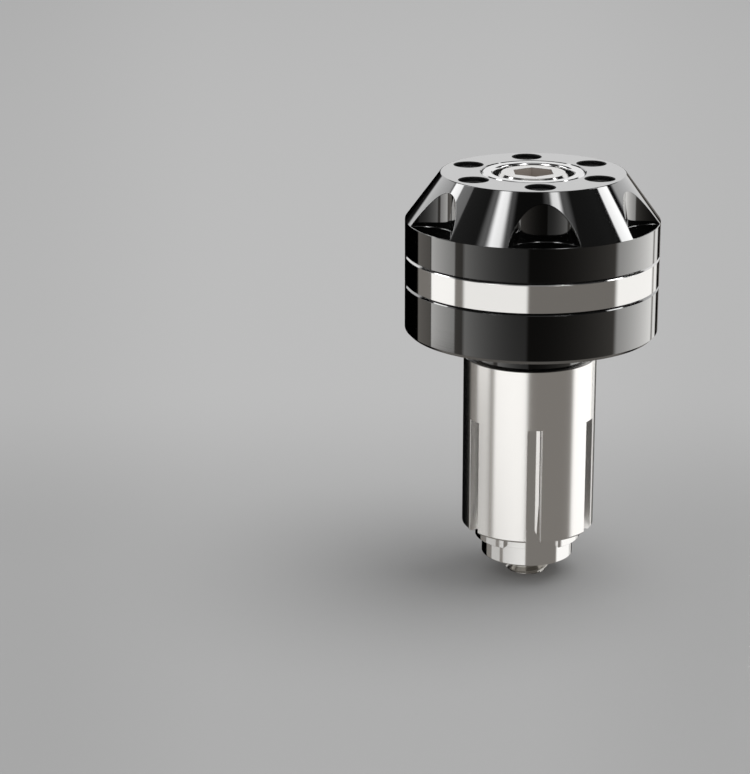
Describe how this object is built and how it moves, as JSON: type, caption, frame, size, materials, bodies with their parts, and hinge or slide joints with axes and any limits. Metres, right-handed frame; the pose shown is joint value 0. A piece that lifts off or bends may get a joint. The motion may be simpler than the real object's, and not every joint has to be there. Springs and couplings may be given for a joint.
{
  "type": "bar end weight",
  "caption": "Layered handlebar end weight: turned head with a pocketed cone, slotted expanding sleeve and a jawed wedge drawn up by a central socket screw.",
  "frame": {"origin": "on the axis, in the plane of the expanding sleeve's top rim, where its fit in the bar begins", "axes": "+Z along the axis from the sleeve up to the head's flat face; one slot, pocket and small screw face -Y"},
  "size_m": [0.034, 0.034, 0.0562],
  "materials": {
    "black_anodised": "polished, black anodised",
    "silver_anodised": "fine turned, clear anodised",
    "sleeve_steel": "polished stainless",
    "bush_steel": "bright turned",
    "bolt_steel": "satin stainless",
    "washer_steel": "plain",
    "screw_black": "black oxide"
  },
  "bodies": {
    "housing": {"front_cap": "black_anodised", "accent_ring": "silver_anodised", "rear_body": "black_anodised", "cap_screws": "screw_black", "centre_bush": "bush_steel", "spring_washer": "washer_steel", "expander_sleeve": "sleeve_steel"},
    "bolt": {"centre_bolt": "bolt_steel"},
    "expander": {"wedge": "sleeve_steel"}
  },
  "joints": [
    {"name": "bolt_turn", "type": "hinge", "parent": "housing", "child": "bolt", "pos_m": [0, 0, 0], "axis": [0, 0, 1], "range_deg": [-360, 540]},
    {"name": "wedge_slide", "type": "slide", "parent": "housing", "child": "expander", "axis": [0, 0, 1], "range_m": [-0.00152, 0.00102]}
  ],
  "couplings": [
    {"joint": "wedge_slide", "follows": "bolt_turn", "m_per_rad": -0.00015915}
  ]
}
